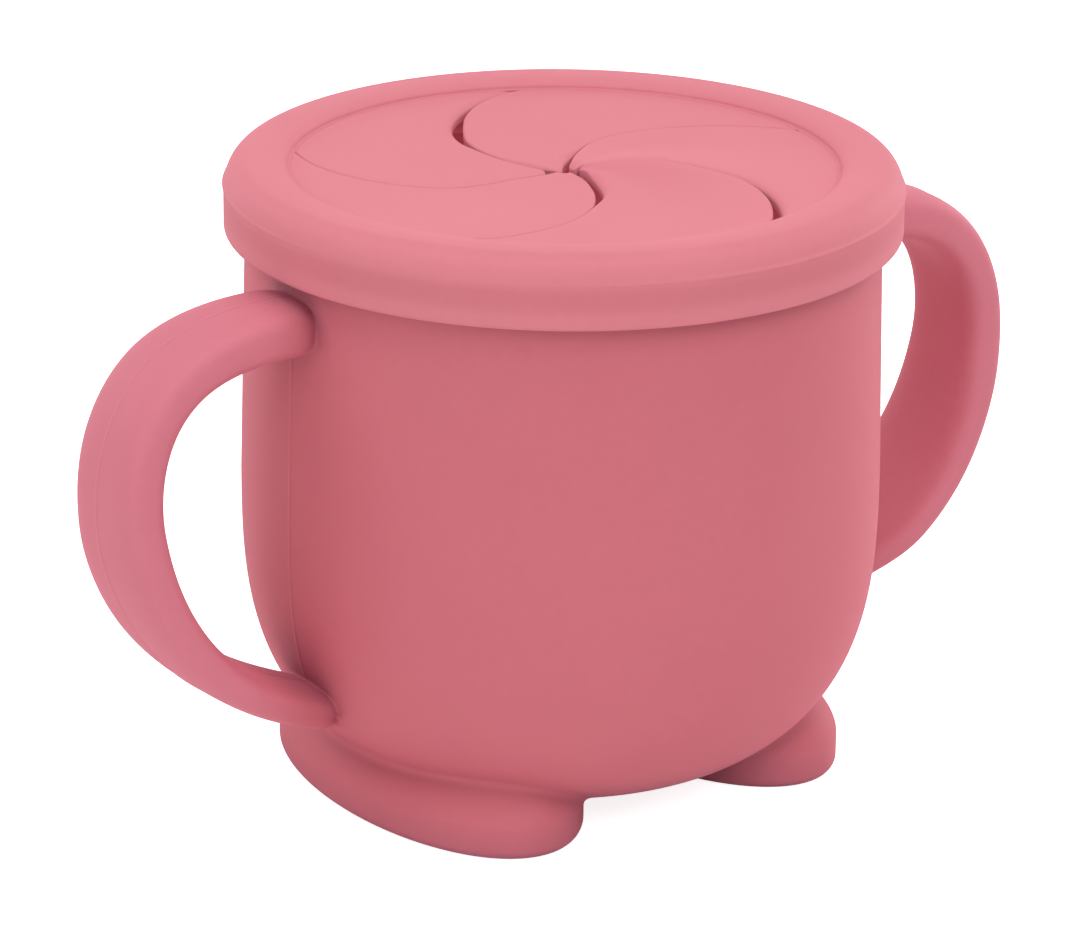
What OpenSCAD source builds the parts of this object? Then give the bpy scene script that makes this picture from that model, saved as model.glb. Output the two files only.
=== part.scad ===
// Two-handled soft cup for a small child, with a snack lid of five swirling flaps.
// Millimetres. Z is up, X runs through the two handles, and the origin is on the
// table, below the middle of the cup.

/* [Cup] */
// Height of the rim above the table
rim_height = 82.4; // [76:0.1:95]
// Outer radius at the rim
rim_r = 42.1; // [41.5:0.1:42.6]
// Outer radius at the widest level
belly_r = 43; // [42.6:0.1:44]
// Height of the widest level, where the wall starts to round in
belly_height = 42; // [36:0.5:48]
// Height of the flat base above the table
base_lift = 3.5; // [2.5:0.1:6]
// How far below the flat base the rounding would close
base_cutoff = 2.8; // [2.2:0.1:4]
// Squareness of the rounded bottom, where 2 is a true ellipse
bottom_power = 3; // [2.4:0.1:3.6]
// Thickness of the wall
wall = 2.8; // [2:0.1:3.4]
// Thickness of the floor
floor_wall = 3.2; // [2:0.1:5]
// Rounding of the rim's two edges
rim_round = 1; // [0.4:0.1:1.2]

/* [Handles] */
// How far a handle's centre line is drawn out from the widest level
handle_reach = 28.3; // [23:0.1:32]
// Height of the centre line at the upper root
handle_top = 69.5; // [66:0.1:70]
// Height of the centre line at the lower root
handle_bottom = 14.8; // [13:0.1:20]
// Thickness of the upper root, seen from the front
top_root_thick = 7.3; // [6:0.1:8]
// Thickness of a handle at its middle
handle_thick = 7.1; // [6:0.1:8.5]
// Thickness of the lower root
low_root_thick = 5.3; // [4.5:0.1:6.5]
// Width of the upper root, front to back
top_root_width = 12.6; // [11:0.1:15]
// Width of a handle at its middle
handle_width = 14.8; // [12:0.1:17]
// Width where a handle is broadest, below its middle
handle_broad = 19.4; // [15:0.1:21]
// Width of the lower root
low_root_width = 11.6; // [10:0.1:16]
// How square the cross-section is, from 2 for an oval
handle_square = 3.3; // [2:0.1:4]

/* [Feet] */
// Length of a foot, front to back
foot_length = 60.8; // [50:0.2:64]
// Width of a foot
foot_width = 31.8; // [24:0.2:33]
// Distance from the middle of the cup to the middle of a foot
foot_spread = 20.2; // [18:0.1:24]
// How far the feet sit behind the middle of the cup
foot_shift = 1.4; // [0:0.1:3]
// Turn of a foot, front end outward, in degrees
foot_turn = 3; // [0:0.5:6]
// Height up to which a foot's side is upright
foot_upright = 4.1; // [3:0.1:6]
// Rounding at the bottom edge of a foot
foot_round = 1.2; // [0.6:0.1:2]

/* [Lid] */
// Outer radius of the lid at its parting line
lid_r = 45; // [44.8:0.1:48]
// Radius at the lower edge of the lid's rim
lid_edge_r = 45; // [44.6:0.1:45]
// Rounding of the lower edge of the lid's rim
lid_edge_round = 0.9; // [0.5:0.05:1.2]
// How far the lid's rim hangs below the cup's rim
lid_drop = 6.8; // [5:0.1:7]
// Thickness of the lid above the cup's rim, at the crest
lid_cap = 2.45; // [2.2:0.05:3.5]
// How far the parting line lies below the crest
lid_shoulder = 2.9; // [2.4:0.05:4]
// Radius of the crest
crest_r = 41.8; // [40.5:0.1:42]
// Radius of the round panel inside the crest
panel_r = 36.5; // [35.5:0.1:36.8]
// How far the panel lies below the crest
panel_drop = 1.25; // [0.8:0.05:1.6]
// Thickness of the panel and its flaps
panel_thick = 1.6; // [1.2:0.05:1.8]
// Thickness of the skirt that goes inside the cup
skirt_thick = 1.6; // [1.2:0.1:1.9]
// How far the skirt reaches below the cup's rim
skirt_depth = 4.8; // [3:0.1:8]
// Space between the lid and the cup's rim, all round
lid_clearance = 0.25; // [0.15:0.05:0.35]

/* [Flaps] */
// Number of flaps
flap_count = 5; // [5:1:5]
// Radius of the arc that each slit follows, out from the middle
slit_arc_r = 20.3; // [19.8:0.1:20.8]
// Direction from the middle to the centre of the first slit's arc, in degrees
slit_turn = 110.6; // [100:0.2:120]
// Width of a slit at its widest
slit_mid = 1.1; // [0.9:0.05:1.4]
// Width of a slit at its ends
slit_end = 0.6; // [0.55:0.05:0.8]
// Distance of the slit's outer end from the middle
hinge_out_r = 35.5; // [34.5:0.1:35.6]
// Distance of a hinge line's other end, on the next slit, from the middle
hinge_in_r = 28.8; // [28:0.1:29.6]
// Space round the thinned hinge line
hinge_clearance = 0.2; // [0.15:0.05:0.25]
// Small opening where the flaps' tips meet
tip_hole_r = 0.9; // [0.6:0.1:1.5]
// How far a flap bends down into the cup, in degrees
flap_down = 60; // [30:5:60]
// How far a flap lifts, in degrees
flap_up = 25; // [0:5:30]

/* [Smoothness] */
// Steps in a rounded edge
edge_steps = 8; // [4:1:12]
// Steps in the cup's rounded bottom
bottom_steps = 20; // [12:1:30]
// Cross-sections along a handle
handle_steps = 32; // [24:1:40]
// Points round a handle's cross-section
handle_sides = 24; // [16:4:24]
// Points round a foot
foot_sides = 44; // [36:2:56]

/* [Hidden] */
$fn = 96;
body_color = [0.80, 0.42, 0.46];
lid_color = [0.89, 0.53, 0.57];
far = 200;
// Centre line of a handle, as shares of its reach and of its height between the roots
handle_shape = [[-0.13, 1], [0.06, 1.01], [0.71, 1.018], [1, 0.632], [0.632, 0.174], [0.042, 0.047],
                [-0.246, 0]];
handle_degree = 3;
foot_levels = 14;
foot_taper = 0.158;
foot_tip = 2.5;
bottom_close = base_lift - base_cutoff;
lid_bottom = rim_height - lid_drop;
crest_height = rim_height + lid_clearance + lid_cap;
panel_top = crest_height - panel_drop;
hinge_height = panel_top - panel_thick / 2;
skirt_bottom = rim_height - skirt_depth;
skirt_r = rim_r - wall - lid_clearance;
channel_r = wall_r(lid_bottom, 0) + lid_clearance;
step_angle = 360 / flap_count;
// A slit's arc passes through the middle, and these are angles round its own centre
slit_out_angle = 2 * acos(hinge_out_r / (2 * slit_arc_r));
slit_mid_angle = (180 + slit_out_angle) / 2;
slit_half = slit_mid_angle - slit_out_angle;
slit_shift = (slit_mid - slit_end) / (1 - cos(slit_half));
flap_arc_r = slit_arc_r - (slit_mid - slit_shift);
// The two ends of the first flap's hinge line
hinge_a = polar(hinge_out_r, slit_turn + acos(hinge_out_r / (2 * slit_arc_r)));
hinge_b = polar(hinge_in_r, slit_turn - step_angle + acos(hinge_in_r / (2 * slit_arc_r)));
hinge_angle = atan2(hinge_b[1] - hinge_a[1], hinge_b[0] - hinge_a[0]);

function polar(r, a) = [r * cos(a), r * sin(a)];

// Points of an elliptical arc round a centre
function arc(centre, rx, ry, from, to, steps) =
    [for (i = [0:steps]) let (a = from + (to - from) * i / steps)
        [centre[0] + rx * cos(a), centre[1] + ry * sin(a)]];

// Radius of the cup's upper wall at a height, moved inward by inset
function wall_r(z, inset) =
    belly_r - inset + (rim_r - belly_r) * (z - belly_height) / (rim_height - belly_height);

// Points of the cup's rounded bottom, from its flat up to the widest level
function bottom_curve(inset, flat_height) =
    let (
        r = belly_r - inset,
        depth = belly_height - bottom_close - inset,
        share = (belly_height - flat_height) / depth,
        last = asin(pow(share, bottom_power / 2))
    )
    [for (i = [0:bottom_steps]) let (a = last * (1 - i / bottom_steps))
        [r * pow(cos(a), 2 / bottom_power), belly_height - depth * pow(sin(a), 2 / bottom_power)]];

// Outline of the cup's outside, as a solid of revolution
function cup_outline() =
    let (r = rim_r - rim_round)
    concat([[0, base_lift]], bottom_curve(0, base_lift),
        arc([r, rim_height - rim_round], rim_round, rim_round, 0, 90, edge_steps), [[0, rim_height]]);

// Outline of the hollow inside the cup
function hollow_outline() =
    let (r = wall_r(rim_height, wall), top = rim_height - rim_round)
    concat([[0, base_lift + floor_wall]], bottom_curve(wall, base_lift + floor_wall),
        arc([r + rim_round, top], rim_round, rim_round, 180, 90, edge_steps),
        [[r + rim_round, rim_height + 1], [0, rim_height + 1]]);

module cup_form() {
    rotate_extrude() polygon(cup_outline());
}

module cup_shell() {
    color(body_color)
    difference() {
        cup_form();
        rotate_extrude() polygon(hollow_outline());
    }
}

// One cubic basis function of an open, clamped curve
function knot(i) = min(max(i - handle_degree, 0), len(handle_shape) - handle_degree);
function basis(i, k, t) =
    k == 0
        ? (t >= knot(i) && t < knot(i + 1) ? 1 : 0)
        : share(t - knot(i), knot(i + k) - knot(i)) * basis(i, k - 1, t)
            + share(knot(i + k + 1) - t, knot(i + k + 1) - knot(i + 1)) * basis(i + 1, k - 1, t);
function share(a, b) = b == 0 ? 0 : a / b;

// A control point of the handle's centre line, in millimetres
function handle_point(i) =
    [belly_r + handle_reach * handle_shape[i][0],
     handle_bottom + (handle_top - handle_bottom) * handle_shape[i][1]];

// The handle's centre line at a share of its length, in the plane of X and Z
function handle_line(u) =
    let (t = min(u, 0.9999) * (len(handle_shape) - handle_degree))
    [for (axis = [0, 1])
        sum([for (i = [0:len(handle_shape) - 1]) basis(i, handle_degree, t) * handle_point(i)[axis]])];
function sum(list, i = 0) = i == len(list) ? 0 : list[i] + sum(list, i + 1);

// Thickness and width at a share of the handle's length
function handle_thickness(u) =
    lookup(u, [[0, top_root_thick], [0.55, handle_thick], [0.8, low_root_thick], [1, low_root_thick]]);
function handle_breadth(u) =
    lookup(u, [[0, top_root_width], [0.25, handle_width], [0.5, handle_width], [0.72, handle_broad],
               [0.82, handle_broad], [0.92, low_root_width], [1, low_root_width]]);

// A section's shape by polar angle, whose two powered shares add up to 1, with half sizes of 1
function squared(a) =
    let (k = pow(pow(abs(cos(a)), handle_square) + pow(abs(sin(a)), handle_square), -1 / handle_square))
    [k * cos(a), k * sin(a)];

// Points round the handle at a share of its length, a squared oval that is wide in Y
function handle_ring(u) =
    let (
        p = handle_line(u),
        q = handle_line(u + 0.001) - handle_line(u - 0.001),
        across = [-q[1], q[0]] / norm(q)
    )
    [for (j = [0:handle_sides - 1])
        let (
            s = squared(360 * j / handle_sides),
            out = s[0] * handle_thickness(u) / 2,
            side = s[1] * handle_breadth(u) / 2
        )
        [p[0] + across[0] * out, side, p[1] + across[1] * out]];

// A closed skin over rings of points that all have the same number of points
module skin(rings) {
    n = len(rings[0]);
    last = (len(rings) - 1) * n;
    points = [for (ring = rings) for (p = ring) p];
    sides = [for (i = [0:len(rings) - 2]) for (j = [0:n - 1]) for (half = [0, 1])
        let (a = i * n + j, b = i * n + (j + 1) % n)
        half == 0 ? [a, b, b + n] : [a, b + n, a + n]];
    first_end = [for (j = [1:n - 2]) [0, j + 1, j]];
    last_end = [for (j = [1:n - 2]) [last, last + j, last + j + 1]];
    polyhedron(points, concat(sides, first_end, last_end));
}

module handle() {
    color(body_color)
    difference() {
        skin([for (i = [0:handle_steps]) handle_ring(0.001 + 0.998 * i / handle_steps)]);
        cup_form();
    }
}

module left_handle() {
    mirror([1, 0, 0]) handle();
}

module right_handle() {
    handle();
}

// How far a foot's outline is drawn in at a height
function foot_inset(z) =
    z < foot_round
        ? foot_round - sqrt(max(0, 2 * foot_round * z - z * z))
        : foot_taper * pow(max(0, z - foot_upright), 2);

// Heights of the foot's rings: close together in the bottom rounding
function foot_heights() =
    let (top = foot_upright + sqrt((foot_width / 2 - foot_tip) / foot_taper))
    concat([for (i = [0:4]) foot_round * (1 - cos(90 * i / 4))],
        [for (i = [0:foot_levels]) foot_upright + (top - foot_upright) * i / foot_levels]);

module foot() {
    color(body_color)
    difference() {
        translate([foot_spread, foot_shift, 0])
        rotate(foot_turn)
        skin([for (z = foot_heights())
            [for (j = [0:foot_sides - 1])
                let (a = -360 * j / foot_sides, inset = foot_inset(z))
                [(foot_width / 2 - inset) * cos(a), (foot_length / 2 - inset) * sin(a), z]]]);
        cup_form();
    }
}

module left_foot() {
    mirror([1, 0, 0]) foot();
}

module right_foot() {
    foot();
}

// Cross-section of the lid's rim with its skirt and the border of the panel
function lid_outline() =
    let (lip = lid_edge_round, tip = skirt_thick / 2)
    concat(
        [[channel_r, lid_bottom + lip / 2], [channel_r + lip / 2, lid_bottom]],
        arc([lid_edge_r - lip, lid_bottom + lip], lip, lip, -90, 0, edge_steps),
        arc([crest_r, crest_height - lid_shoulder], lid_r - crest_r, lid_shoulder, 0, 90, edge_steps),
        arc([crest_r, panel_top], crest_r - panel_r, panel_drop, 90, 180, edge_steps),
        [[0, panel_top], [0, panel_top - panel_thick], [skirt_r - skirt_thick, panel_top - panel_thick]],
        arc([skirt_r - tip, skirt_bottom + tip], tip, tip, 180, 360, edge_steps),
        [[skirt_r, rim_height + lid_clearance], [channel_r, rim_height + lid_clearance]]);

// The round area, as tall as the model, that a slit's outer edge encloses
module slit_area(k) {
    centre = polar(slit_arc_r, slit_turn + k * step_angle);
    translate([centre[0], centre[1], 0]) cylinder(h = far, r = slit_arc_r);
}

// The same for the flap's own edge, drawn in by the width of the slit
module flap_area(k) {
    turn = slit_turn + k * step_angle;
    centre = polar(slit_arc_r, turn) - polar(slit_shift, turn + slit_mid_angle);
    translate([centre[0], centre[1], 0]) cylinder(h = far, r = flap_arc_r);
}

// Puts a shape that is drawn with its hinge along X, and its flap towards -Y, at flap k
module at_hinge(k) {
    rotate(k * step_angle)
    translate([hinge_a[0], hinge_a[1], hinge_height])
    rotate(hinge_angle)
    children();
}

// The hinge's half-round bead and the plate in front of it, turned down by an angle
module plate_at_hinge(angle, spare) {
    half = panel_thick / 2 + spare;
    rotate([angle, 0, 0])
    translate([-far / 2, -far, -half]) cube([far, far, 2 * half]);
    rotate([0, 90, 0]) cylinder(h = far, r = half, center = true);
}

module lid_ring() {
    color(lid_color)
    difference() {
        rotate_extrude() polygon(lid_outline());
        for (k = [0:flap_count - 1]) {
            intersection() {
                slit_area(k);
                union() {
                    at_hinge(k) plate_at_hinge(0, hinge_clearance);
                    at_hinge(k) plate_at_hinge(flap_down, hinge_clearance);
                    at_hinge(k) plate_at_hinge(-flap_up, hinge_clearance);
                }
            }
        }
    }
}

module petal(k) {
    color(lid_color)
    difference() {
        intersection() {
            flap_area(k);
            at_hinge(k) plate_at_hinge(0, 0);
        }
        slit_area(k - 1);
        cylinder(h = far, r = tip_hole_r);
    }
}

module lid_petal_1() {
    petal(0);
}

module lid_petal_2() {
    petal(1);
}

module lid_petal_3() {
    petal(2);
}

module lid_petal_4() {
    petal(3);
}

module lid_petal_5() {
    petal(4);
}

cup_shell();
left_handle();
right_handle();
left_foot();
right_foot();
lid_ring();
lid_petal_1();
lid_petal_2();
lid_petal_3();
lid_petal_4();
lid_petal_5();
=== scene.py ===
"""The looks of a small child's two-handled soft cup with a snack lid of five swirling flaps.

Each piece is a surface worked out on a grid, in millimetres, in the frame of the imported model:
X runs through the two handles, Z is up, and the origin is on the table below the cup.
"""

import bpy
import numpy as np
from mathutils import Matrix


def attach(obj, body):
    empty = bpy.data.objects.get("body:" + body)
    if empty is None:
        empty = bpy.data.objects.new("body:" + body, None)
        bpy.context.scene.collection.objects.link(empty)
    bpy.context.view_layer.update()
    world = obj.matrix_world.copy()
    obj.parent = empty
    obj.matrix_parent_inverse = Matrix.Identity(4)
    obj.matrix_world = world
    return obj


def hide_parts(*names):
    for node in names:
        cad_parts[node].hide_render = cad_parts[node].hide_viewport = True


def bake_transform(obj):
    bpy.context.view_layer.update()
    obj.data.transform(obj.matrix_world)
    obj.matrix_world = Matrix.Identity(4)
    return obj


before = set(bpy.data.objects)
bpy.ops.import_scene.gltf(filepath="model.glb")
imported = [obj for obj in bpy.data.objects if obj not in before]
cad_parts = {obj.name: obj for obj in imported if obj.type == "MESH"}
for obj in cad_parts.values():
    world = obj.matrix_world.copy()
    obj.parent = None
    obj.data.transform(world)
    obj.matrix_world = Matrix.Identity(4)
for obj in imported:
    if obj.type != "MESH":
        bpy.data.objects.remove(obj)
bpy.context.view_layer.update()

MM = 0.001

# Camera

# Its place is in millimetres, and the photograph's focal length and width are in pixels
VIEW_AZIMUTH = np.radians(34.792)
VIEW_ELEVATION = np.radians(20.162)
VIEW_ROLL = np.radians(0.661)
VIEW_DISTANCE = 679.49
VIEW_TARGET = np.array([-2.047, 1.422, 41.476])
PHOTO_FOCAL = 5037.41
PHOTO_WIDTH = 1084
SENSOR_WIDTH = 36.0
CLIP_NEAR, CLIP_FAR = 0.01, 20.0


def add_object(name, data):
    """A new object in the scene, made of this data."""
    thing = bpy.data.objects.new(name, data)
    bpy.context.scene.collection.objects.link(thing)
    return thing


def axes(x, y, z, place):
    """The matrix that turns an object's axes to the directions x, y and z and moves it to place."""
    matrix = np.eye(4)
    matrix[:3, :3] = np.stack([x, y, z], 1)
    matrix[:3, 3] = place
    return Matrix(matrix.tolist())


def make_camera():
    """A camera on a sphere round the target, turned about its line of sight by the roll."""
    sa, ca = np.sin(VIEW_AZIMUTH), np.cos(VIEW_AZIMUTH)
    se, ce = np.sin(VIEW_ELEVATION), np.cos(VIEW_ELEVATION)
    ahead = np.array([sa * ce, ca * ce, -se])
    right = np.array([ca, -sa, 0.0])
    up = np.cross(right, ahead)
    across = right * np.cos(VIEW_ROLL) + up * np.sin(VIEW_ROLL)
    above = up * np.cos(VIEW_ROLL) - right * np.sin(VIEW_ROLL)
    data = bpy.data.cameras.new("photo_camera")
    data.sensor_fit = "HORIZONTAL"
    data.sensor_width = SENSOR_WIDTH
    data.lens = SENSOR_WIDTH * PHOTO_FOCAL / PHOTO_WIDTH
    data.clip_start = CLIP_NEAR
    data.clip_end = CLIP_FAR
    camera = add_object("photo_camera", data)
    camera.matrix_world = axes(across, above, -ahead, (VIEW_TARGET - ahead * VIEW_DISTANCE) * MM)
    bpy.context.scene.camera = camera


make_camera()

# Sizes, in millimetres and degrees

RIM_HEIGHT, RIM_R, RIM_ROUND = 82.4, 42.1, 1.0
BELLY_R, BELLY_HEIGHT = 43.0, 42.0
BASE_LIFT, BASE_CUTOFF, BOTTOM_POWER = 3.5, 2.8, 3.0
WALL, FLOOR_WALL = 2.8, 3.2
BOTTOM_CLOSE = BASE_LIFT - BASE_CUTOFF

# The handle's centre line is a smooth curve led by seven points, as shares of its reach and height.
# At shares of its length stand its thickness, across the loop, and its width, front to back.
HANDLE_REACH, HANDLE_TOP, HANDLE_BOTTOM = 28.3, 69.5, 14.8
HANDLE_SHAPE = np.array([[-0.13, 1], [0.06, 1.01], [0.71, 1.018], [1, 0.632], [0.632, 0.174],
                         [0.042, 0.047], [-0.246, 0]])
HANDLE_KNOTS = [0, 0, 0, 0, 1, 2, 3, 4, 4, 4, 4]
THICK_AT = [0, 0.15, 0.35, 0.55, 0.72, 0.84, 0.93, 1]
HANDLE_THICK = [7.3, 7.2, 6.6, 7.2, 5.8, 5.1, 5.5, 5.4]
WIDE_AT = [0, 0.25, 0.5, 0.7, 0.82, 0.92, 1]
HANDLE_WIDE = [12.6, 14.4, 14.8, 18.4, 19.6, 12.8, 11.4]
HANDLE_SQUARE = 3.3

FOOT_LENGTH, FOOT_WIDTH = 60.8, 31.8
FOOT_SPREAD, FOOT_SHIFT, FOOT_TURN = 20.2, 1.4, 3.0
FOOT_UPRIGHT, FOOT_ROUND, FOOT_TAPER, FOOT_TIP = 4.1, 1.2, 0.158, 2.5

LID_R, LID_EDGE_ROUND, LID_DROP, LID_CAP = 45.0, 0.6, 6.8, 2.45
CREST_R, PANEL_R, PANEL_DROP, PANEL_THICK = 41.8, 36.5, 1.25, 1.6
SKIRT_THICK, SKIRT_DEPTH, LID_CLEARANCE = 1.6, 4.8, 0.25
CREST_HEIGHT = RIM_HEIGHT + LID_CLEARANCE + LID_CAP
PANEL_TOP = CREST_HEIGHT - PANEL_DROP
LID_BOTTOM = RIM_HEIGHT - LID_DROP

FLAPS, SLIT_ARC_R, SLIT_TURN = 5, 20.3, 110.6
FLAP_STEP = 360 / FLAPS

# Surface tools

TINY = 1e-9
SAME_POINT = 1e-6
TABLE_POINTS = 3001


def unit(v):
    """Vectors divided by their length."""
    return v / np.maximum(np.linalg.norm(v, axis=-1, keepdims=True), TINY)


def ease(x):
    """3x^2 - 2x^3 between 0 and 1, flat outside."""
    x = np.clip(x, 0, 1)
    return x * x * (3 - 2 * x)


def line(a, b, count):
    """Points from a to b at equal steps."""
    return np.linspace(a, b, count)


def squared(a, n):
    """The point (c, s) at angle a on the squared circle |c|^n + |s|^n = 1."""
    k = (np.abs(np.cos(a)) ** n + np.abs(np.sin(a)) ** n) ** (-1 / n)
    return k * np.cos(a), k * np.sin(a)


def arc(centre, rx, ry, start, end, count, square=2):
    """Centre plus (rx c, ry s), from start to end degrees of a circle, or of a squared one."""
    c, s = squared(np.radians(np.linspace(start, end, count)), square)
    return np.stack([centre[0] + rx * c, centre[1] + ry * s], 1)


def bent(a, corner, b, t):
    """The curve (1-t)^2 A + 2t(1-t) H + t^2 B, which leaves A towards the corner H."""
    return (1 - t) ** 2 * a + 2 * t * (1 - t) * corner + t ** 2 * b


def even(points, count):
    """The same path, with points at equal steps of its length."""
    steps = np.linalg.norm(np.diff(points, axis=0), axis=1)
    along = np.concatenate([[0], np.cumsum(steps)])
    at = np.linspace(0, along[-1], count)
    return np.stack([np.interp(at, along, points[:, i]) for i in range(points.shape[1])], 1)


def through(at, values, reach):
    """A smooth curve through a table: straight pieces, averaged over a window of reach each way."""
    span = at[-1] - at[0]
    dense = np.linspace(at[0] - span, at[-1] + span, TABLE_POINTS)
    half = max(1, int(reach / (dense[1] - dense[0])))
    window = np.hanning(2 * half + 1) / np.hanning(2 * half + 1).sum()
    plain = np.pad(np.interp(dense, at, values), half, mode="edge")
    smooth = np.convolve(plain, window, mode="valid")
    return lambda x: np.interp(x, dense, smooth)


def path(*parts):
    """Parts of a path joined end to end, leaving out points that repeat."""
    points = np.concatenate([np.atleast_2d(np.asarray(p, float)) for p in parts])
    step = np.linalg.norm(np.diff(points, axis=0), axis=1)
    return points[np.concatenate([[True], step > SAME_POINT])]


def make_piece(name, rings, start=None, end=None, ring_of_rings=False):
    """A closed mesh over rings of points that all have the same count, each ring closed on itself.

    A quad joins point c of a ring to point c + 1 and to the next ring. start and end are the poles
    that close the first and the last ring, or the last ring joins the first. The sum of
    a . (b x c) over the triangles is six times the volume, and all faces are turned round where it
    is negative.
    """
    count, sides = rings.shape[:2]
    r = np.arange(count if ring_of_rings else count - 1)[:, None]
    c = np.arange(sides)[None, :]
    here, after = r * sides, ((r + 1) % count) * sides
    beside = (c + 1) % sides
    quads = np.stack([here + c, here + beside, after + beside, after + c], -1).reshape(-1, 4)
    points = [rings.reshape(-1, 3)]
    fans = []
    for pole, first, turn in ((start, 0, -1), (end, (count - 1) * sides, 1)):
        if pole is not None:
            tip = np.full(sides, sum(len(p) for p in points))
            points.append(np.asarray(pole, float).reshape(1, 3))
            fans.append(np.stack([tip, first + c[0], first + beside[0]][::turn], -1))
    points = np.concatenate(points)
    fans = np.concatenate(fans) if fans else np.zeros((0, 3), int)
    three = np.concatenate([quads[:, [0, 1, 2]], quads[:, [0, 2, 3]], fans])
    corner = points[three]
    volume = np.einsum("ij,ij->i", corner[:, 0], np.cross(corner[:, 1], corner[:, 2])).sum()
    if volume < 0:
        quads, fans = quads[:, ::-1], fans[:, ::-1]
    mesh = bpy.data.meshes.new(name)
    mesh.from_pydata((points * MM).tolist(), [], quads.tolist() + fans.tolist())
    mesh.polygons.foreach_set("use_smooth", np.ones(len(mesh.polygons), bool))
    mesh.update()
    return add_object(name, mesh)


def turned(profile, angles):
    """Rings of (r cos a, r sin a, z), one ring for each (r, z) of the profile."""
    r, z = profile[:, :1], profile[:, 1:]
    return np.stack([r * np.cos(angles), r * np.sin(angles), z + 0 * angles], -1)


def dress(piece, material, body, node):
    """Gives a piece its material and its body if any, and has it stand for its CAD node by hiding
    that.
    """
    piece.data.materials.append(material)
    if body:
        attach(piece, body)
    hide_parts(node)
    return piece


# Silicone

# Scales are per metre, and lengths in metres
CLOUD_SCALE, MOTTLE_SCALE, GRAIN_SCALE = 38.0, 700.0, 5200.0
NOISE_ROUGH = 0.55
CLOUD_SHARE, MOTTLE_SHARE = 0.62, 0.38
ROUGH_SPREAD = 0.16
GRAIN_HEIGHT, MOTTLE_HEIGHT = 0.6, 0.4
GRAIN_STRENGTH, GRAIN_DEPTH = 0.35, 0.00004
# One dust cell in about fifty holds a speck, so wide as a share of the cell
DUST_SCALE, DUST_SIZE, DUST_RARITY, DUST_SHARE = 230.0, 0.03, 0.982, 0.22
DUST_TONE = (0.93, 0.72, 0.72)
# Painted light: the arms are made paler between these distances from the axis, for light that comes
# through them
ARM_LIGHT_FROM, ARM_LIGHT_TO = 0.0435, 0.052
# Painted shade: a darker band round the lid's thickest part fades in and out again at these heights
SIDE_SHADE_FROM, SIDE_SHADE_FULL, SIDE_SHADE_UNTIL, SIDE_SHADE_TO = 0.0768, 0.0792, 0.0802, 0.082
SPECULAR = 0.15
SHEEN, SHEEN_ROUGH, SHEEN_TINT = 0.4, 0.45, (1.0, 0.27, 0.36, 1)
# Painted shade: creases take a deeper, cooler tone, by how little open space there is within a
# reach of them
PAINTED_CREASE_SHADE = (0.70, 0.82, 0.93, 1)
CREASE_REACH, CREASE_SAMPLES = 0.011, 8
CREASE_SHUT, CREASE_OPEN = 0.22, 0.8
WHITE = (1, 1, 1, 1)
# The places of the two colours and of the result among the sockets of a colour Mix node
MIX_A, MIX_B, MIX_RESULT = 6, 7, 2


def add_node(tree, kind, x, y, **values):
    """A node at (x, y). Values are its properties, or its inputs by name where it has them."""
    node = tree.nodes.new(kind)
    node.location = (x, y)
    for key, value in values.items():
        if key in node.inputs:
            node.inputs[key].default_value = value
        else:
            setattr(node, key, value)
    return node


def feed(tree, socket, value):
    """Links an input to the output that value is, or else gives it the value."""
    if isinstance(value, bpy.types.NodeSocket):
        tree.links.new(value, socket)
    else:
        socket.default_value = value


def noise(tree, place, scale, detail, x, y):
    """Noise of a scale and detail over the place."""
    node = add_node(tree, "ShaderNodeTexNoise", x, y, Scale=scale, Detail=detail,
                    Roughness=NOISE_ROUGH)
    feed(tree, node.inputs["Vector"], place)
    return node.outputs[0]


def math(tree, operation, a, b, x, y, clamp=False):
    """The result of an operation on a and b."""
    node = add_node(tree, "ShaderNodeMath", x, y, operation=operation, use_clamp=clamp)
    feed(tree, node.inputs[0], a)
    feed(tree, node.inputs[1], b)
    return node.outputs[0]


def weighed(tree, a, weight_a, b, weight_b, x, y):
    """The sum of a and b, each times its weight."""
    first = math(tree, "MULTIPLY", a, weight_a, x, y)
    second = math(tree, "MULTIPLY", b, weight_b, x, y - 200)
    return math(tree, "ADD", first, second, x + 200, y)


def between(tree, value, start, end, x, y, kind="SMOOTHSTEP"):
    """0 before start, 1 past end, and a climb of some kind between them."""
    node = add_node(tree, "ShaderNodeMapRange", x, y, interpolation_type=kind)
    feed(tree, node.inputs["From Min"], start)
    feed(tree, node.inputs["From Max"], end)
    feed(tree, node.inputs["Value"], value)
    return node.outputs[0]


def mixed(tree, factor, a, b, x, y, blend="MIX"):
    """Colour a at factor 0. At factor 1 it is b, or a multiplied by b where blend says so."""
    node = add_node(tree, "ShaderNodeMix", x, y, data_type="RGBA", blend_type=blend)
    feed(tree, node.inputs["Factor"], factor)
    feed(tree, node.inputs[MIX_A], a)
    feed(tree, node.inputs[MIX_B], b)
    return node.outputs[MIX_RESULT]


def toned(tree, colour, tone, mask, x, y):
    """The colour, multiplied by the tone where the mask is 1."""
    lift = mixed(tree, mask, WHITE, tone, x, y + 200)
    return mixed(tree, 1.0, colour, lift, x + 200, y, "MULTIPLY")


def dust_mask(tree, place):
    """Faint specks at the middle of a few cells."""
    cells = add_node(tree, "ShaderNodeTexVoronoi", -900, -500, Scale=DUST_SCALE)
    feed(tree, cells.inputs["Vector"], place)
    near = math(tree, "LESS_THAN", cells.outputs["Distance"], DUST_SIZE, -650, -450)
    parts = add_node(tree, "ShaderNodeSeparateColor", -650, -650)
    feed(tree, parts.inputs[0], cells.outputs["Color"])
    rare = math(tree, "GREATER_THAN", parts.outputs[0], DUST_RARITY, -450, -650)
    speck = math(tree, "MULTIPLY", near, rare, -250, -500)
    return math(tree, "MULTIPLY", speck, DUST_SHARE, -50, -500)


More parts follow.
